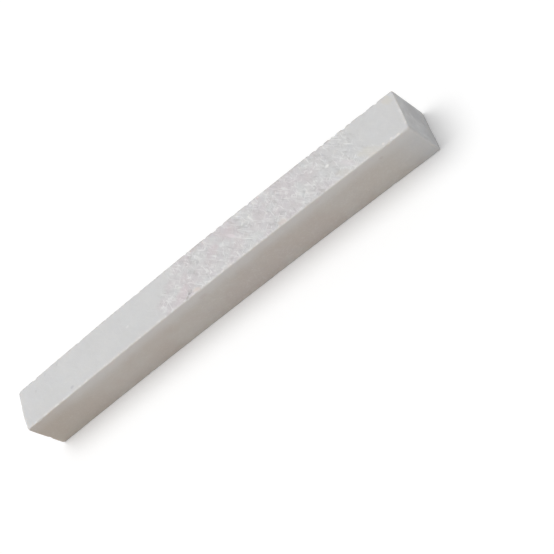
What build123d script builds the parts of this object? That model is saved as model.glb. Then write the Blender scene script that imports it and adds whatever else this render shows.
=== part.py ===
from build123d import *
import math
import os

# A square marking stick of soft, pale soapstone, sawn from a block and lying on its flat underside.
# Sizes in mm. X runs along the stick from its left end to its right, Y from front to back, Z up.
length = 100.0
width = 9.7
height = 9.8

# The saw wandered, so no two faces are quite parallel. Each sag is measured at the face's middle,
# from a straight line between its corners.
front_hollow = 0.61
back_bow = 0.72
top_crown = 0.12
left_end_crown = 0.26

# Turn of each end cut, in degrees: skew is seen from above, lean is seen from the front.
left_skew = 2.15
left_lean = 1.2
right_skew = 1.35
right_lean = 0.15

# Handling has rounded the sharp arrises by this radius.
arris_round = 0.15

# Directions along the stick to its right end, across it to its back, and up to its top. A place on
# the skin is a sum of them: each counts from -1 at one face to 1 at the opposite one.
along = Vector(1, 0, 0)
across = Vector(0, 1, 0)
up = Vector(0, 0, 1)

# Flakes knocked out of the soft stone, each a shallow shell-shaped bite. For each arris: the place of
# its middle, the way it runs, and its flakes, each with its share of the way from the middle to the
# end, the radius of its shell and the depth of its bite in mm.
arris_flakes = [
    # Upper front arris: one fresh nick near the right end, small ones along the rest, and a broken
    # stretch beside the pit at mid-length.
    (up - across, along, [
        (0.905, 1.1, 0.20),
        (0.872, 0.8, 0.17),
        (0.610, 2.6, 0.15),
        (0.335, 1.2, 0.14),
        (0.232, 0.5, 0.14),
        (-0.028, 2.2, 0.18),
        (-0.088, 0.7, 0.24),
        (-0.110, 0.5, 0.20),
        (-0.390, 3.2, 0.15),
        (-0.700, 1.6, 0.16),
        (-0.925, 5.0, 0.22),
    ]),
    # Upper back arris: ragged from mid-length to the right end, where the saw broke out.
    (up + across, along, [
        (0.924, 0.5, 0.25),
        (0.874, 0.5, 0.21),
        (0.862, 0.4, 0.22),
        (0.804, 0.4, 0.19),
        (0.772, 1.0, 0.25),
        (0.728, 0.5, 0.25),
        (0.706, 0.4, 0.23),
        (0.670, 0.5, 0.23),
        (0.638, 0.4, 0.23),
        (0.602, 0.4, 0.19),
        (0.292, 0.5, 0.26),
        (0.160, 0.5, 0.23),
        (0.126, 0.4, 0.25),
        (0.114, 0.5, 0.26),
        (0.070, 0.4, 0.19),
        (-0.036, 0.4, 0.21),
        (-0.300, 3.0, 0.16),
        (-0.640, 1.0, 0.16),
        (-0.905, 1.8, 0.20),
    ]),
    # Lower arrises, which the stick was set down on.
    (-up - across, along, [
        (0.780, 1.8, 0.20),
        (0.210, 1.2, 0.16),
        (-0.480, 2.6, 0.18),
    ]),
    (-up + across, along, [
        (0.560, 2.0, 0.22),
        (-0.080, 3.4, 0.20),
        (-0.730, 1.4, 0.22),
    ]),
    # Arrises of the right end: upper, front and lower.
    (along + up, across, [(-0.450, 0.9, 0.15), (0.350, 1.6, 0.17)]),
    (along - across, up, [(-0.300, 1.4, 0.15)]),
    (along - up, across, [(0.100, 2.0, 0.20)]),
    # Arrises of the left end: upper, front, lower and back.
    (up - along, across, [(0.300, 1.4, 0.17)]),
    (-along - across, up, [(-0.200, 1.8, 0.20)]),
    (-along - up, across, [(-0.350, 1.5, 0.18)]),
    (across - along, up, [(0.250, 2.2, 0.22)]),
]

# Flakes at the corners: place, shell radius and bite.
corner_flakes = [
    (up - along - across, 1.3, 0.38),
    (up - along + across, 0.9, 0.28),
    (up + along - across, 0.8, 0.24),
    (up + along + across, 1.0, 0.34),
    (along + across - up, 1.4, 0.40),
    (-along - across - up, 1.0, 0.30),
]

# A pit in the top face, just behind the broken stretch of the front arris: its shares of the way
# along and across, its shell radius and its depth.
pit_along = -0.066
pit_across = -0.74
pit_radius = 0.8
pit_depth = 0.16


# How far a bowed face stands off its straight line: the whole sag half way along the span, none
# at the span's ends, and a parabola between.
def stand_off(sag, place, span):
    return sag * (1 - (2 * place / span) ** 2)


# Y of the front and the back face, and Z of the top, above a place along the stick.
def front_y(x):
    return -width / 2 + stand_off(front_hollow, x, length)


def back_y(x):
    return width / 2 + stand_off(back_bow, x, length)


def top_z(x):
    return height + stand_off(top_crown, x, length)


# X of an end face, which leans both ways about the middle of the end.
def end_x(middle, skew, lean, y, z):
    return middle - y * math.tan(math.radians(skew)) - (z - height / 2) * math.tan(math.radians(lean))


# The bar between its four long saw cuts: its outline from above, run past both ends and raised,
# kept where it lies under the crowned top.
def sawn_bar():
    reach = length / 2 + width
    front = ThreePointArc((-reach, front_y(-reach)), (0, front_y(0)), (reach, front_y(reach)))
    back = ThreePointArc((-reach, back_y(-reach)), (0, back_y(0)), (reach, back_y(reach)))
    outline = make_face([front, Line(front @ 1, back @ 1), back, Line(back @ 0, front @ 0)])
    under = Line((-reach, 0), (reach, 0))
    top = ThreePointArc((-reach, top_z(-reach)), (0, top_z(0)), (reach, top_z(reach)))
    side = make_face([under, Line(under @ 1, top @ 1), top, Line(top @ 0, under @ 0)])
    return extrude(outline, amount=2 * height) & extrude(Plane.XZ * side, amount=2 * width, both=True)


# The saw cut's frame at one end: its Z leans with the cut, and its X points out of the stick.
def end_cut(middle, skew, lean):
    outward = math.copysign(1, middle)
    tangent = Vector(-math.tan(math.radians(skew)), 1, 0)
    rise = Vector(-math.tan(math.radians(lean)), 0, 1)
    normal = tangent.cross(rise).normalized() * outward
    return Plane(origin=(middle, 0, height / 2), x_dir=normal, z_dir=rise)


# What the saw takes off beyond the left end, up to a face that swells by the end's crown.
def left_waste():
    face = ThreePointArc(
        (stand_off(left_end_crown, -width, width), -width),
        (left_end_crown, 0),
        (stand_off(left_end_crown, width, width), width),
    )
    far = 2 * width
    back_side = Line(face @ 1, (far, width))
    front_side = Line((far, -width), face @ 0)
    waste = make_face([face, back_side, Line(back_side @ 1, front_side @ 0), front_side])
    return end_cut(-length / 2, left_skew, left_lean) * extrude(waste, amount=height, both=True)


# What the saw takes off beyond the flat right end.
def right_waste():
    waste = Box(2 * width, 2 * width, 2 * height, align=(Align.MIN, Align.CENTER, Align.CENTER))
    return end_cut(length / 2, right_skew, right_lean) * waste


# The point of the stick's skin at a place given by its shares along, across and up.
def skin_point(place):
    x = place.X * length / 2
    y = front_y(x) + (place.Y + 1) / 2 * (back_y(x) - front_y(x))
    z = (place.Z + 1) / 2 * top_z(x)
    left = end_x(-length / 2, left_skew, left_lean, y, z) - stand_off(left_end_crown, y, width)
    right = end_x(length / 2, right_skew, right_lean, y, z)
    return Vector(left + (place.X + 1) / 2 * (right - left), y, z)


# The ball whose shell a flake leaves. It comes in square to the face it breaks, or evenly between
# the faces that meet there.
def flake_ball(place, faces, radius, bite):
    return Pos(skin_point(place) + faces.normalized() * (radius - bite)) * Sphere(radius)


def flake_balls():
    balls = []
    for middle, run, flakes in arris_flakes:
        for share, radius, bite in flakes:
            balls.append(flake_ball(middle + run * share, middle, radius, bite))
    for corner, radius, bite in corner_flakes:
        balls.append(flake_ball(corner, corner, radius, bite))
    balls.append(flake_ball(up + along * pit_along + across * pit_across, up, pit_radius, pit_depth))
    return balls


def chalk_stick():
    stick = sawn_bar() - left_waste() - right_waste()
    stick = fillet(stick.edges(), arris_round)
    stick -= flake_balls()
    box = stick.bounding_box()
    return Pos(-box.center().X, -box.center().Y, -box.min.Z) * stick


os.makedirs("parts", exist_ok=True)
export_step(chalk_stick(), "parts/chalk_stick.step")
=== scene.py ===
import math

import bpy
import numpy as np
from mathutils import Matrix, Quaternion, Vector


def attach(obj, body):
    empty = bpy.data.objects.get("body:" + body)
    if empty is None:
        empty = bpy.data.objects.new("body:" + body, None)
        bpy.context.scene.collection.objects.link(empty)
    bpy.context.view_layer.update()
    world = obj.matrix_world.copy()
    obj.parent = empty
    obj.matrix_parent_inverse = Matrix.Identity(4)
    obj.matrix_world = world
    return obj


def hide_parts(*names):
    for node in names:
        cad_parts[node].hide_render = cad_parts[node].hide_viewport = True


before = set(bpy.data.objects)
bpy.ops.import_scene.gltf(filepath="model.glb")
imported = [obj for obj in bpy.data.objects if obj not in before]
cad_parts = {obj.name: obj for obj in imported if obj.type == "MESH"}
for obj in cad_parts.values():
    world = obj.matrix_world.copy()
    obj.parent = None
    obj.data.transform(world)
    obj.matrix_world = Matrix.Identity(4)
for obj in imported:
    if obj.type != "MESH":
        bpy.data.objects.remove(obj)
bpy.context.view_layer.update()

mm = 0.001


# Colours are written as sRGB hex, and shaders want linear light
def linear(hexColour):
    channels = [int(hexColour[i:i + 2], 16) / 255 for i in (1, 3, 5)]
    return (*[c / 12.92 if c <= 0.04045 else ((c + 0.055) / 1.055) ** 2.4 for c in channels], 1)


# Adds a node, sets its properties, and fills its inputs with values or with links from other nodes
def addNode(tree, kind, inputs=None, **settings):
    made = tree.nodes.new(kind)
    for name, value in settings.items():
        setattr(made, name, value)
    for socket, value in (inputs or {}).items():
        if isinstance(value, bpy.types.NodeSocket):
            tree.links.new(value, made.inputs[socket])
        else:
            made.inputs[socket].default_value = value
    return made


# The stick of sawn soapstone, the same sizes as its CAD solid, in mm
stick = {
    "length": 100.0,
    "width": 9.7,
    "height": 9.8,
    "frontHollow": 0.61,    # how far the front face dips in at mid-length
    "backBow": 0.72,        # how far the back face swells out there
    "topCrown": 0.12,
    "leftEndCrown": 0.26,
    "leftSkew": 2.15,       # degrees, seen from above
    "leftLean": 1.2,        # degrees, seen from the front
    "rightSkew": 1.35,
    "rightLean": 0.15,
    "originShift": (0.134, -0.36, 0.0),   # from the middle of the saw cuts to the middle of the box
    "arrisRound": 0.13,     # mean radius of the worn arrises
    "ownRounds": [          # arrises that are rounder or sharper: the way out of them, and radius
        ((0, -1, 1), 0.25),
        ((1, -1, 0), 0.4),
        ((0, 1, 1), 0.09),
    ],
    "ownReach": 1.5,        # how far such a radius carries on along the arrises it meets
    "arrisUneven": 0.4,     # how much a radius wanders, as a share of it
    "unevenLengths": (3.0, 0.9),    # how far apart its slow and its quick changes come
    "unevenQuick": 0.6,     # the quick changes, as a share of the slow ones
    "arrisLimits": (0.04, 0.6),     # the smallest and the largest radius, however it wanders
    "arrisZone": 1.6,       # strip beside each arris that gets the finer mesh
    "zoneCells": 11,
    "zonePower": 1.5,       # above 1, those cells are smallest at the arris
    "alongCells": 540,      # cells between the two zones, about 0.18 mm each
    "acrossCells": 20,
    "crumbs": 520,          # tiny nicks along all twelve arrises
    "crumbRadius": (0.2, 0.6),
    "crumbBite": (0.04, 0.1),
    "crumbCrowds": 5.0,     # how far apart the nicks crowd
    "crumbsBetween": 0.35,  # share of them kept between the crowds
    "waves": [              # unevenness left by the saw: depth, length of a wave, seed
        (0.012, 4.5, 8),
        (0.006, 1.1, 9),
    ],
    "seed": 11,
}

# A place on the skin is a sum of these, each from -1 at one face to 1 at the opposite one
along, across, up = np.eye(3)

# Flakes knocked out of the stone, as in the CAD solid, but for a shallower one at the upper back corner of
# the right end. For each arris: the place of its middle, the way it runs, and its flakes, with their share
# of the way to its end, radius of the shell and depth of the bite in mm. The corners follow, and last the
# pit in the top face
flakes = [
    (up - across, along, [
        (0.905, 1.1, 0.20), (0.872, 0.8, 0.17), (0.610, 2.6, 0.15), (0.335, 1.2, 0.14), (0.232, 0.5, 0.14),
        (-0.028, 2.2, 0.18), (-0.088, 0.7, 0.24), (-0.110, 0.5, 0.20), (-0.390, 3.2, 0.15),
        (-0.700, 1.6, 0.16), (-0.925, 5.0, 0.22),
    ]),
    (up + across, along, [
        (0.924, 0.5, 0.25), (0.874, 0.5, 0.21), (0.862, 0.4, 0.22), (0.804, 0.4, 0.19), (0.772, 1.0, 0.25),
        (0.728, 0.5, 0.25), (0.706, 0.4, 0.23), (0.670, 0.5, 0.23), (0.638, 0.4, 0.23), (0.602, 0.4, 0.19),
        (0.292, 0.5, 0.26), (0.160, 0.5, 0.23), (0.126, 0.4, 0.25), (0.114, 0.5, 0.26), (0.070, 0.4, 0.19),
        (-0.036, 0.4, 0.21), (-0.300, 3.0, 0.16), (-0.640, 1.0, 0.16), (-0.905, 1.8, 0.20),
    ]),
    (-up - across, along, [(0.780, 1.8, 0.20), (0.210, 1.2, 0.16), (-0.480, 2.6, 0.18)]),
    (-up + across, along, [(0.560, 2.0, 0.22), (-0.080, 3.4, 0.20), (-0.730, 1.4, 0.22)]),
    (along + up, across, [(-0.450, 0.9, 0.15), (0.350, 1.6, 0.17)]),
    (along - across, up, [(-0.300, 1.4, 0.15)]),
    (along - up, across, [(0.100, 2.0, 0.20)]),
    (up - along, across, [(0.300, 1.4, 0.17)]),
    (-along - across, up, [(-0.200, 1.8, 0.20)]),
    (-along - up, across, [(-0.350, 1.5, 0.18)]),
    (across - along, up, [(0.250, 2.2, 0.22)]),
    (up - along - across, along, [(0, 1.3, 0.38)]),
    (up - along + across, along, [(0, 0.9, 0.28)]),
    (up + along - across, along, [(0, 0.8, 0.24)]),
    (up + along + across, along, [(0, 0.8, 0.19)]),
    (along + across - up, along, [(0, 1.4, 0.40)]),
    (-along - across - up, along, [(0, 1.0, 0.30)]),
    (up, -0.066 * along - 0.74 * across, [(1, 0.8, 0.16)]),
]


# Steps across a span: close together beside both arrises, growing with a power of the step's number,
# and even between
def spreadSteps(span, cells):
    zone = stick["arrisZone"] * np.linspace(0, 1, stick["zoneCells"] + 1) ** stick["zonePower"]
    middle = np.linspace(-span / 2 + zone[-1], span / 2 - zone[-1], cells + 1)
    return np.concatenate([-span / 2 + zone[:-1], middle, span / 2 - zone[-2::-1]])


# The skin of a box as six grids of points, each face a function of its two steps, with the rows that
# faces share merged into one
def boxSkin(steps):
    points, quads, total = [], [], 0
    for axis in range(3):
        first, second = [(1, 2), (2, 0), (0, 1)][axis]
        u, v = np.meshgrid(steps[first], steps[second], indexing="ij")
        number = np.arange(u.size).reshape(u.shape)
        corners = [number[:-1, :-1], number[1:, :-1], number[1:, 1:], number[:-1, 1:]]
        quad = np.stack([corner.ravel() for corner in corners], axis=1)
        for side in (-1, 1):
            face = np.empty((u.size, 3))
            face[:, axis] = steps[axis][-1] * side
            face[:, first] = u.ravel()
            face[:, second] = v.ravel()
            points.append(face)
            quads.append((quad if side == 1 else quad[:, ::-1]) + total)
            total += u.size
    points = np.concatenate(points)
    merged, first, where = np.unique(np.round(points, 6), axis=0, return_index=True, return_inverse=True)
    return points[first], where.reshape(-1)[np.concatenate(quads)]


# Smooth noise, mostly from -1 to 1: the mean of many cosine waves that run in seeded directions, each at a
# wavelength near the one given, times half the root of their number
def ripple(points, wavelength, seed, waves=28):
    dice = np.random.default_rng(seed)
    direction = dice.normal(size=(3, waves))
    direction /= np.linalg.norm(direction, axis=0)
    pace = 2 * np.pi / (wavelength * dice.uniform(0.7, 1.5, waves))
    start = dice.uniform(0, 2 * np.pi, waves)
    return np.cos(points @ (direction * pace) + start).mean(axis=1) * math.sqrt(waves) / 2


# A parabola: the whole sag half way along a span, none at its ends
def standOff(sag, place, span):
    return sag * (1 - (2 * place / span) ** 2)


# Bends a true box to the sawn one: by its share of the way across the box, a point's y runs from the
# hollow front to the bowed back, its z from the flat underside to the crowned top, and its x from the
# skewed left end to the skewed right end
def sawnPlace(boxPoints):
    shares = boxPoints / np.array([stick["length"], stick["width"], stick["height"]]) * 2
    x = shares[:, 0] * stick["length"] / 2
    front = -stick["width"] / 2 + standOff(stick["frontHollow"], x, stick["length"])
    back = stick["width"] / 2 + standOff(stick["backBow"], x, stick["length"])
    y = front + (shares[:, 1] + 1) / 2 * (back - front)
    z = (shares[:, 2] + 1) / 2 * (stick["height"] + standOff(stick["topCrown"], x, stick["length"]))
    ends = []
    for middle, skew, lean, crown in (
        (-stick["length"] / 2, stick["leftSkew"], stick["leftLean"], -stick["leftEndCrown"]),
        (stick["length"] / 2, stick["rightSkew"], stick["rightLean"], 0),
    ):
        slope = y * math.tan(math.radians(skew)) + (z - stick["height"] / 2) * math.tan(math.radians(lean))
        ends.append(middle - slope + standOff(crown, y, stick["width"]))
    x = ends[0] + (shares[:, 0] + 1) / 2 * (ends[1] - ends[0])
    return np.stack([x, y, z], axis=1) + np.array(stick["originShift"])


# A flake leaves the inside of a ball: points within the radius of its centre are pushed out to it.
# Returns the new points and how deep each was cut
def bite(points, centre, radius):
    away = points - centre
    distance = np.linalg.norm(away, axis=1)
    inside = np.flatnonzero(distance < radius)
    moved = points.copy()
    moved[inside] = centre + away[inside] * (radius / distance[inside])[:, None]
    depth = np.zeros(len(points))
    depth[inside] = radius - distance[inside]
    return moved, depth


# Seeded nicks, crowded where a slow noise is high, along the four long and eight short arrises. Gives
# the place of each, and the way out between the faces that meet there
def crumbPlaces(dice):
    places, outwards = [], []
    half = np.array([stick["length"], stick["width"], stick["height"]]) / 2
    while len(places) < stick["crumbs"]:
        axis = dice.choice(3, p=half / half.sum())
        outward = dice.choice([-1.0, 1.0], 3)
        outward[axis] = 0
        place = outward + np.eye(3)[axis] * dice.uniform(-1, 1)
        crowded = ripple((place * half)[None], stick["crumbCrowds"], seed=3)[0] > 0.1
        if dice.uniform() < (1 if crowded else stick["crumbsBetween"]):
            places.append(place)
            outwards.append(outward)
    return places, outwards


# Radius of the worn arrises at each point: the mean one, plus what an arris's own radius differs from it
# times a bell curve of the distance to that arris, and all of it times one plus two noises
def wornRadius(box, size):
    radius = np.full(len(box), stick["arrisRound"])
    for outward, ownRadius in stick["ownRounds"]:
        outward = np.array(outward)
        away = (size / 2 - box * outward)[:, outward != 0]
        near = np.exp(-(away ** 2).sum(axis=1) / stick["ownReach"] ** 2)
        radius += (ownRadius - stick["arrisRound"]) * near
    slow, quick = stick["unevenLengths"]
    wander = ripple(box, slow, seed=5) + stick["unevenQuick"] * ripple(box, quick, seed=6)
    return np.clip(radius * (1 + stick["arrisUneven"] * wander), *stick["arrisLimits"])


# The finished skin: a box, rounded at its arrises, dipped by the saw's waves, bent to the sawn shape and
# bitten by every flake
def buildStick():
    size = np.array([stick["length"], stick["width"], stick["height"]])
    cells = (stick["alongCells"], stick["acrossCells"], stick["acrossCells"])
    box, quads = boxSkin([spreadSteps(span, count) for span, count in zip(size, cells)])

    # Distance to the nearest arris: of a point's three distances to the face planes, the middle one
    arrisDistance = np.sort(size / 2 - np.abs(box), axis=1)[:, 1]

    # Rounding: a point is drawn in to the box less the radius, then set back out by the radius
    radius = wornRadius(box, size)[:, None]
    core = np.clip(box, -(size / 2 - radius), size / 2 - radius)
    outward = box - core
    outward /= np.linalg.norm(outward, axis=1)[:, None]
    dip = sum(depth * (1 + ripple(box, wave, seed)) / 2 for depth, wave, seed in stick["waves"])
    points = sawnPlace(core + outward * (radius - dip[:, None]))

    dice = np.random.default_rng(stick["seed"])
    places, outwards = crumbPlaces(dice)
    radii = list(dice.uniform(*stick["crumbRadius"], len(places)))
    bites = list(dice.uniform(*stick["crumbBite"], len(places)))
    for middle, run, group in flakes:
        for share, shell, depth in group:
            places.append(middle + run * share)
            outwards.append(middle)
            radii.append(shell)
            bites.append(depth)
    outwards = np.array(outwards) / np.linalg.norm(outwards, axis=1)[:, None]
    standBack = (np.array(radii) - np.array(bites))[:, None]
    centres = sawnPlace(np.array(places) * size / 2) + outwards * standBack
    fresh = np.zeros(len(points))
    for centre, shell in zip(centres, radii):
        points, depth = bite(points, centre, shell)
        fresh = np.maximum(fresh, depth)

    mesh = bpy.data.meshes.new("sawnStick")
    mesh.from_pydata((points * mm).tolist(), [], quads.tolist())
    attributes = {"arrisDistance": arrisDistance, "freshBreak": fresh, "rubbedSide": outward[:, 1] ** 2}
    for name, values in attributes.items():
        mesh.attributes.new(name, "FLOAT", "POINT").data.foreach_set("value", values.astype(np.float32))
    mesh.polygons.foreach_set("use_smooth", np.ones(len(quads), dtype=bool))
    mesh.update()
    made = bpy.data.objects.new("sawnStick", mesh)
    bpy.context.scene.collection.objects.link(made)
    print("stick meshed,", 2 * len(quads), "triangles")
    return made


# Steatite, the massive talc stone: fine felted flakes of talc, so pale, waxy and a little translucent.
# The saw leaves its top, underside and ends chalky and scratched, and handling rubs its sides smooth
# and warm. A coarser bed of white crystals crosses the middle and right of the stick.
soapstone = {
    "body": "#d0d0d0",
    "cloud": "#cecece",
    "rubbed": "#ccc5bd",        # the sides, warmed by handling
    "rubbedCloud": "#c8beb5",
    "rubbedFade": (51.0, 41.0), # places along, in mm, between which that fades in from the right end
    "rubbedLeast": 0.15,        # what is left of it there
    "leftEndShade": "#b5a898",          # painted shade: the sides darker and browner towards the left end
    "leftEndShadeFade": (-28.0, -50.0),
    "crystal": "#ececeb",
    "shade": "#b0aeae",
    "mauve": "#cbc2c5",         # veils through most of the bed
    "endShadeGrey": "#c1c1c2",       # painted shade: the ends darker
    "backArrisShade": "#98979a",         # painted shade of the nicks in the ragged upper back arris
    "arrisPowderAndHighlight": "#e2ddd8",        # cream powder and a painted highlight on the upper front arris
    "paintedSideLight": "#dbd8d5",        # painted light: the upper part of the sides paler
    "shares": {                 # how strongly each of these covers the stone where it is full
        "leftEndShade": 0.5,
        "mauve": 0.55,
        "mottle": 0.55,
        "crystals": 0.35,
        "scratches": 0.65,
        "ends": 0.6,
        "endsDark": 0.3,
        "endsPale": 0.2,
        "arrisPowderAndHighlight": 0.25,
        "knocks": 0.5,
        "backArrisShade": 0.6,
        "paintedSideLight": 0.8,
        "freshBreaks": 0.4,
    },
    "cloudSize": 8.0,           # mm, as are all sizes here
    "bedGrain": (1.9, 0.8, -48.0),  # its length and width, and degrees from the stick, seen from above
    "crystalSize": 0.8,
    "endMottleSize": 1.3,
    "grainSize": 0.2,           # talc's own flakes, about 0.05 mm, wouldn't show, so they are drawn coarser
    "grainOnSides": 0.35,       # what rubbing has left of that grain on the sides
    "mauveSize": 5.0,
    "mauveFade": (38.0, 28.0),  # places along, in mm, between which the veils fade out
    "scratches": [              # length, width, and degrees from the stick, seen from above
        (3.6, 0.34, -42.0),
        (2.4, 0.3, -75.0),
        (1.8, 0.3, 50.0),
    ],
    "scratchWander": 0.8,
    "bedStart": -10.0,          # where the coarser bed starts and ends along the stick
    "bedEnd": 41.0,
    "bedEdge": 5.0,             # how gradually, how far that place wanders to and fro, and how often
    "bedWander": 8.0,
    "bedWanderSize": 9.0,
    "bedOnSides": 0.2,          # how much of the bed shows on the rubbed sides
    "bedElsewhere": 0.12,       # how much of its mottling the plain stone has
    "patchSize": 3.2,           # where the mottling is stronger and weaker
    "patchLeast": 0.45,
    "arrisPowderAndHighlightWidth": 0.8,
    "knockSize": 1.1,           # whiter knocks in that cream powder and painted highlight
    "backArrisShadeSize": 0.7,
    "backArrisShadeWidth": 0.4,
    "paintedSideLightFade": (6.2, 9.7),   # heights between which that painted light thickens
    "paintedSideLightLeftEnd": 0.4,          # what is left of that painted light at the left end
    "roughness": 0.66,
    "rubbedRoughness": 0.5,
    "powderRoughness": 0.95,    # crushed stone on every arris
    "powderWidth": 0.5,
    "ior": 1.57,                # talc lies between 1.54 and 1.60
    "glow": 0.6,                # share of the light that goes in and comes out again
    "glowDepth": 0.8,           # how far it spreads inside the stone
    "glowColours": (1.0, 0.85, 0.7),    # red goes furthest
    "grainDepth": 0.012,
    "scratchDepth": 0.02,
}

# Marks on the stone: centre and half sizes in mm, turn about Z in degrees, colour and strength
marks = [
    ((-3.3, -3.5, 9.9), (0.75, 0.45, 0.6), 30, "#8c8286", 0.75),    # mauve pit in the top face
    ((-4.3, -4.2, 9.9), (0.55, 0.3, 0.5), 20, "#a39c9b", 0.7),       # darker arris to its left: painted shade of the flake there
    ((-1.7, -3.9, 9.9), (1.2, 0.6, 0.8), -30, "#ddd0c8", 0.6),       # peach bruise to its right
    ((-5.2, -2.7, 9.9), (2.6, 1.5, 0.8), 35, "#d2c4c8", 0.45),       # pink cloud behind it
    ((9.3, 1.15, 9.9), (1.6, 0.4, 0.8), -47, "#f2edee", 0.9),        # long pale vein, and its ends
    ((9.7, 0.7, 9.9), (3.8, 0.3, 0.8), -47, "#dddadb", 0.55),
    ((8.4, 2.6, 9.9), (4.0, 1.8, 0.8), -44, "#cbbfc3", 0.45),        # mauve cloud round the vein
    ((4.6, 1.4, 9.9), (1.8, 1.4, 0.8), 20, "#ccc0c4", 0.45),
    ((32.8, -0.1, 9.9), (0.5, 0.38, 0.6), 0, "#f1f0ef", 0.8),        # bright crystals
    ((29.4, 1.2, 9.9), (0.4, 0.3, 0.6), 0, "#ebeaea", 0.6),
    ((-19.4, -0.2, 9.9), (0.45, 0.35, 0.6), 0, "#e2e1e1", 0.6),
    ((46.3, -4.5, 9.9), (0.5, 0.32, 0.6), -30, "#ece8e3", 0.7),
    ((47.8, -4.8, 9.9), (0.4, 0.3, 0.6), -30, "#ece8e3", 0.7),
    ((44.5, -4.4, 9.9), (0.4, 0.28, 0.6), -30, "#ece8e3", 0.6),
    ((-36.2, -3.6, 9.9), (0.55, 0.4, 0.6), 0, "#b5b5b9", 0.6),       # grey specks
    ((-38.7, 3.9, 9.9), (0.6, 0.25, 0.6), 30, "#b9b9b9", 0.5),
    ((-42.4, 3.7, 9.9), (0.5, 0.25, 0.6), 30, "#bcbcbc", 0.5),
    ((-45.6, 1.8, 9.9), (0.4, 0.3, 0.6), 0, "#bcbcbc", 0.4),
    ((42.3, -5.0, 8.0), (0.55, 0.6, 0.4), 0, "#b09b90", 0.45),       # brown spots on the front face
    ((37.0, -4.9, 9.0), (0.8, 0.6, 0.45), 0, "#b3a19c", 0.4),
    ((27.8, -4.8, 8.9), (0.7, 0.6, 0.4), 0, "#b3a19c", 0.4),
    ((-1.9, -4.6, 8.1), (1.1, 0.6, 0.7), 0, "#b9a39c", 0.45),
    ((50.0, 2.6, 4.6), (1.0, 3.4, 3.6), 0, "#b0b0b2", 0.6),          # grey cloud at the back of the right end
    ((36.8, -2.6, 9.9), (2.6, 0.7, 0.8), -48, "#ddd7da", 0.45),      # pale veil in the bed
    ((41.5, -3.7, 9.9), (3.2, 1.2, 0.8), -30, "#d4d1c8", 0.45),      # beige patches near the front arris
    ((35.5, -4.1, 9.9), (2.2, 1.0, 0.8), -30, "#d2cdc4", 0.4),
    ((20.6, -4.0, 9.9), (1.4, 0.9, 0.8), -40, "#d6cbc2", 0.45),
    ((48.4, 3.4, 9.9), (1.5, 1.2, 0.8), -40, "#d2cec3", 0.45),
]


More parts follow.
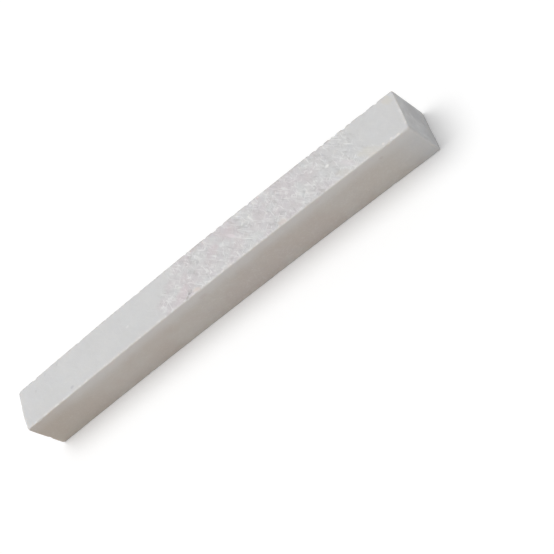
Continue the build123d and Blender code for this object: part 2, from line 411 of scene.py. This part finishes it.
def makeSoapstone():
    made = bpy.data.materials.new("sawnSteatite")
    made.use_nodes = True
    tree = made.node_tree
    tree.nodes.clear()
    stone, share = soapstone, soapstone["shares"]
    coordinates = addNode(tree, "ShaderNodeTexCoord")
    place = addNode(tree, "ShaderNodeVectorMath", {
        0: coordinates.outputs["Object"], "Scale": 1 / mm}, operation="SCALE").outputs[0]
    placeParts = addNode(tree, "ShaderNodeSeparateXYZ", {0: place})
    normalParts = addNode(tree, "ShaderNodeSeparateXYZ", {0: coordinates.outputs["Normal"]})
    arris = addNode(tree, "ShaderNodeAttribute", attribute_name="arrisDistance").outputs["Fac"]
    fresh = addNode(tree, "ShaderNodeAttribute", attribute_name="freshBreak").outputs["Fac"]
    rubbed = addNode(tree, "ShaderNodeAttribute", attribute_name="rubbedSide").outputs["Fac"]

    def noise(size, detail=3.0, rough=0.55, vector=place, wander=0.0):
        return addNode(tree, "ShaderNodeTexNoise", {
            "Vector": vector, "Scale": 1 / size, "Detail": detail, "Roughness": rough, "Distortion": wander,
        }).outputs["Fac"]

    # A noise stays near 0.5, so the limits of its band say how much it covers and how soft its edge is
    def band(value, low, high, toLow=0.0, toHigh=1.0):
        return addNode(tree, "ShaderNodeMapRange", {
            "Value": value, "From Min": low, "From Max": high, "To Min": toLow, "To Max": toHigh,
        }, interpolation_type="SMOOTHSTEP").outputs["Result"]

    def reckon(operation, a, b=0.0):
        return addNode(tree, "ShaderNodeMath", {0: a, 1: b}, operation=operation).outputs[0]

    # Lays one colour over another, as far as the factor times its full strength
    def tint(factor, full, under, over):
        reach = reckon("MULTIPLY", factor, full)
        return addNode(tree, "ShaderNodeMix", {
            0: reach, 6: under, 7: linear(over)}, data_type="RGBA").outputs[2]

    # The coarser bed: its ends wander, and it shows least where the sides are rubbed
    wander = reckon("SUBTRACT", noise(stone["bedWanderSize"], 1.0), 0.5)
    wander = reckon("MULTIPLY", wander, stone["bedWander"] * 2)
    bedPlace = reckon("ADD", wander, placeParts.outputs["X"])
    half = stone["bedEdge"] / 2
    bedIn = band(bedPlace, stone["bedStart"] - half, stone["bedStart"] + half)
    bedOut = band(bedPlace, stone["bedEnd"] + half, stone["bedEnd"] - half)
    bed = reckon("MULTIPLY", bedIn, bedOut)
    bed = reckon("MULTIPLY", bed, band(rubbed, 0.0, 1.0, 1.0, stone["bedOnSides"]))
    endward = band(reckon("ABSOLUTE", normalParts.outputs["X"]), 0.5, 0.9)

    # Slow clouds in the stone, cooler on the sawn faces and warmer on the rubbed ones
    clouds = band(noise(stone["cloudSize"], 2.0), 0.38, 0.62)
    colour = tint(clouds, 1.0, linear(stone["body"]), stone["cloud"])
    warm = addNode(tree, "ShaderNodeMix", {
        0: clouds, 6: linear(stone["rubbed"]), 7: linear(stone["rubbedCloud"])}, data_type="RGBA").outputs[2]
    warmth = band(placeParts.outputs["X"], *stone["rubbedFade"], stone["rubbedLeast"], 1.0)
    warmth = reckon("MULTIPLY", rubbed, warmth)
    colour = addNode(tree, "ShaderNodeMix", {0: warmth, 6: colour, 7: warm}, data_type="RGBA").outputs[2]

    # Painted shade: the sides darker and browner towards the left end
    leftEndShade = band(placeParts.outputs["X"], *stone["leftEndShadeFade"])
    colour = tint(reckon("MULTIPLY", rubbed, leftEndShade), share["leftEndShade"], colour, stone["leftEndShade"])

    # Mauve veils through the bed
    veils = reckon("MULTIPLY", band(noise(stone["mauveSize"], 2.0), 0.36, 0.62), bed)
    veils = reckon("MULTIPLY", veils, band(placeParts.outputs["X"], *stone["mauveFade"]))
    colour = tint(veils, share["mauve"], colour, stone["mauve"])

    # Noise drawn out along a direction seen from above, and let wander
    def drawnNoise(length, width, angle, detail):
        drawn = addNode(tree, "ShaderNodeMapping", {
            "Vector": place, "Rotation": (0, 0, math.radians(angle)), "Scale": (length, width, width),
        }, vector_type="TEXTURE").outputs[0]
        return noise(1.0, detail, 0.5, drawn, stone["scratchWander"])

    # Mottling: soft dark and light grains, strong in the bed and faint outside it, and pale crystals
    mottle = drawnNoise(*stone["bedGrain"], 2.0)
    patchy = band(noise(stone["patchSize"], 2.0), 0.36, 0.6, stone["patchLeast"], 1.0)
    strength = band(reckon("MULTIPLY", bed, patchy), 0.0, 1.0, stone["bedElsewhere"], 1.0)
    dark = reckon("MULTIPLY", band(mottle, 0.49, 0.28), strength)
    colour = tint(dark, share["mottle"], colour, stone["shade"])
    pale = reckon("MULTIPLY", band(mottle, 0.52, 0.74), strength)
    colour = tint(pale, share["mottle"], colour, stone["crystal"])
    crystals = reckon("MULTIPLY", band(noise(stone["crystalSize"], 1.0), 0.62, 0.76), strength)
    colour = tint(crystals, share["crystals"], colour, stone["crystal"])

    # The end faces are darker, a painted shade, and mottled all over, coarser and fainter
    endMottle = noise(stone["endMottleSize"], 3.0, 0.6)
    colour = tint(endward, share["ends"], colour, stone["endShadeGrey"])
    dark = reckon("MULTIPLY", band(endMottle, 0.54, 0.34), endward)
    colour = tint(dark, share["endsDark"], colour, stone["shade"])
    pale = reckon("MULTIPLY", band(endMottle, 0.54, 0.7), endward)
    colour = tint(pale, share["endsPale"], colour, stone["crystal"])

    # Saw and handling scratches
    scratches = 0.0
    for length, width, angle in stone["scratches"]:
        scratches = reckon("MAXIMUM", band(drawnNoise(length, width, angle, 1.0), 0.60, 0.74), scratches)
    scratches = reckon("MULTIPLY", scratches, strength)
    colour = tint(scratches, share["scratches"], colour, stone["crystal"])

    # Each mark fades from a third of its half sizes to just past them, and the mottling frays its edge
    for centre, halfSizes, turn, markColour, markStrength in marks:
        local = addNode(tree, "ShaderNodeMapping", {
            "Vector": place, "Location": centre, "Rotation": (0, 0, math.radians(turn)), "Scale": halfSizes,
        }, vector_type="TEXTURE").outputs[0]
        reach = addNode(tree, "ShaderNodeVectorMath", {0: local}, operation="LENGTH").outputs["Value"]
        ragged = reckon("ADD", reach, reckon("MULTIPLY", reckon("SUBTRACT", mottle, 0.5), 1.2))
        colour = tint(band(ragged, 1.15, 0.35), markStrength, colour, markColour)

    # Cream powder and a painted highlight along the upper front arris, faint all the way with whiter knocks,
    # and painted light on the upper part of the sides
    facingUp = band(normalParts.outputs["Z"], 0.35, 0.8)
    frontward = band(placeParts.outputs["Y"], 3.0, -2.0)
    powderAndHighlight = reckon("MULTIPLY", band(arris, stone["arrisPowderAndHighlightWidth"], 0.1), facingUp)
    powderAndHighlight = reckon("MULTIPLY", powderAndHighlight, frontward)
    colour = tint(powderAndHighlight, share["arrisPowderAndHighlight"], colour, stone["arrisPowderAndHighlight"])
    knocks = reckon("MULTIPLY", powderAndHighlight, band(noise(stone["knockSize"], 2.0), 0.5, 0.62))
    colour = tint(knocks, share["knocks"], colour, stone["crystal"])
    paintedSideLight = reckon("MULTIPLY", band(placeParts.outputs["Z"], *stone["paintedSideLightFade"]),
                    band(leftEndShade, 0.0, 1.0, 1.0, stone["paintedSideLightLeftEnd"]))

    # Painted shade of the nicks in the ragged upper back arris lies under the painted side light, and pale
    # stone shows in the deeper breaks
    backward = band(placeParts.outputs["Y"], 2.0, 4.0)
    backArrisShadeMask = reckon("MULTIPLY", band(arris, stone["backArrisShadeWidth"], 0.1), facingUp)
    backArrisShadeMask = reckon("MULTIPLY", backArrisShadeMask, backward)
    backArrisShadeMask = reckon("MULTIPLY", backArrisShadeMask, band(noise(stone["backArrisShadeSize"], 2.0), 0.42, 0.58))
    colour = tint(backArrisShadeMask, share["backArrisShade"], colour, stone["backArrisShade"])
    # Painted light: the upper part of the sides paler, towards the top
    colour = tint(reckon("MULTIPLY", paintedSideLight, rubbed), share["paintedSideLight"], colour, stone["paintedSideLight"])
    colour = tint(band(fresh, 0.02, 0.14), share["freshBreaks"], colour, stone["crystal"])

    # Relief too fine for the mesh: grain everywhere, scratches on the sawn faces
    grain = reckon("MULTIPLY", noise(stone["grainSize"], 4.0, 0.6),
                   band(rubbed, 0.0, 1.0, 1.0, stone["grainOnSides"]))
    relief = reckon("ADD", reckon("MULTIPLY", grain, stone["grainDepth"]),
                    reckon("MULTIPLY", scratches, stone["scratchDepth"]))
    bump = addNode(tree, "ShaderNodeBump", {"Height": relief, "Distance": mm}).outputs["Normal"]
    roughness = band(rubbed, 0.0, 1.0, stone["roughness"], stone["rubbedRoughness"])
    crushed = band(arris, stone["powderWidth"], 0.05, 0.0, stone["powderRoughness"])
    roughness = reckon("MAXIMUM", roughness, crushed)
    surface = addNode(tree, "ShaderNodeBsdfPrincipled", {
        "Base Color": colour, "Roughness": roughness, "IOR": stone["ior"], "Normal": bump,
        "Subsurface Weight": stone["glow"], "Subsurface Radius": stone["glowColours"],
        "Subsurface Scale": stone["glowDepth"] * mm,
    })
    addNode(tree, "ShaderNodeOutputMaterial", {"Surface": surface.outputs[0]})
    print("material made: sawn steatite")
    return made


# The camera where the photograph was taken from, in mm, with its tilt
photoCamera = {
    "place": (121.41, -178.74, 199.17),
    "aim": (12.76, -9.40, 4.9),
    "roll": -61.91,         # degrees about the line of sight
    "lens": 98.79,          # mm, as is the width of the sensor
    "sensor": 36,
}


def placeCamera():
    data = bpy.data.cameras.new("photoCamera")
    data.lens = photoCamera["lens"]
    data.sensor_width = photoCamera["sensor"]
    data.clip_start = 0.01
    made = bpy.data.objects.new("photoCamera", data)
    place, aim = Vector(photoCamera["place"]) * mm, Vector(photoCamera["aim"]) * mm
    made.location = place
    made.rotation_mode = "QUATERNION"
    roll = Quaternion((0, 0, 1), math.radians(photoCamera["roll"]))
    made.rotation_quaternion = (aim - place).to_track_quat("-Z", "Y") @ roll
    bpy.context.scene.collection.objects.link(made)
    bpy.context.scene.camera = made


# Soft studio: a broad lamp overhead and a little behind, a pale dome and a white floor
studio = {
    "dome": 0.57,           # strength of the pale dome
    "lampPower": 14.8,      # watts
    "lampSize": 1.4,        # metres
    "lampPlace": (-0.6, 0.4, 1.6),
    "floorSize": 3.0,
    "floorBounce": "#e0e0e0",   # what the floor gives back to the stick
    "floorLift": 0.08,      # added to what the eye sees of it, so that it is white outside the shadow
}


# 1 for the rays that look at the backdrop, straight or by a mirror or through glass, and 0 for the
# rays that light the stick by it
def seenByEye(tree):
    rays = addNode(tree, "ShaderNodeLightPath").outputs
    straight = addNode(tree, "ShaderNodeMath", {
        0: rays["Is Camera Ray"], 1: rays["Is Glossy Ray"]}, operation="MAXIMUM").outputs[0]
    return addNode(tree, "ShaderNodeMath", {
        0: straight, 1: rays["Is Transmission Ray"]}, operation="MAXIMUM").outputs[0]


def addStudio():
    scene = bpy.context.scene
    scene.view_settings.view_transform = "Standard"
    world = bpy.data.worlds.new("paleDome")
    scene.world = world
    world.use_nodes = True
    tree = world.node_tree
    tree.nodes.clear()
    strength = addNode(tree, "ShaderNodeMapRange", {
        "Value": seenByEye(tree), "To Min": studio["dome"], "To Max": 1.0}).outputs["Result"]
    background = addNode(tree, "ShaderNodeBackground", {"Color": (1, 1, 1, 1), "Strength": strength})
    addNode(tree, "ShaderNodeOutputWorld", {"Surface": background.outputs[0]})

    lamp = bpy.data.lights.new("overhead", "AREA")
    lamp.shape = "DISK"
    lamp.size = studio["lampSize"]
    lamp.energy = studio["lampPower"]
    overhead = bpy.data.objects.new("overhead", lamp)
    overhead.location = studio["lampPlace"]
    overhead.rotation_euler = (-Vector(studio["lampPlace"])).to_track_quat("-Z", "Y").to_euler()
    scene.collection.objects.link(overhead)

    half = studio["floorSize"] / 2
    mesh = bpy.data.meshes.new("floor")
    corners = [(-half, -half, 0), (half, -half, 0), (half, half, 0), (-half, half, 0)]
    mesh.from_pydata(corners, [], [(0, 1, 2, 3)])
    floor = bpy.data.objects.new("floor", mesh)
    scene.collection.objects.link(floor)
    paper = bpy.data.materials.new("whitePaper")
    paper.use_nodes = True
    tree = paper.node_tree
    tree.nodes.clear()
    seen = seenByEye(tree)
    colour = addNode(tree, "ShaderNodeMix", {
        0: seen, 6: linear(studio["floorBounce"]), 7: (1, 1, 1, 1)}, data_type="RGBA").outputs[2]
    matt = addNode(tree, "ShaderNodeBsdfDiffuse", {"Color": colour}).outputs[0]
    lift = addNode(tree, "ShaderNodeMapRange", {
        "Value": seen, "To Max": studio["floorLift"]}).outputs["Result"]
    glow = addNode(tree, "ShaderNodeEmission", {"Strength": lift}).outputs[0]
    surface = addNode(tree, "ShaderNodeAddShader", {0: matt, 1: glow})
    addNode(tree, "ShaderNodeOutputMaterial", {"Surface": surface.outputs[0]})
    mesh.materials.append(paper)
    print("studio lit")


chalkStick = buildStick()
chalkStick.data.materials.append(makeSoapstone())
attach(chalkStick, "root")
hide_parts("chalk_stick")
placeCamera()
addStudio()
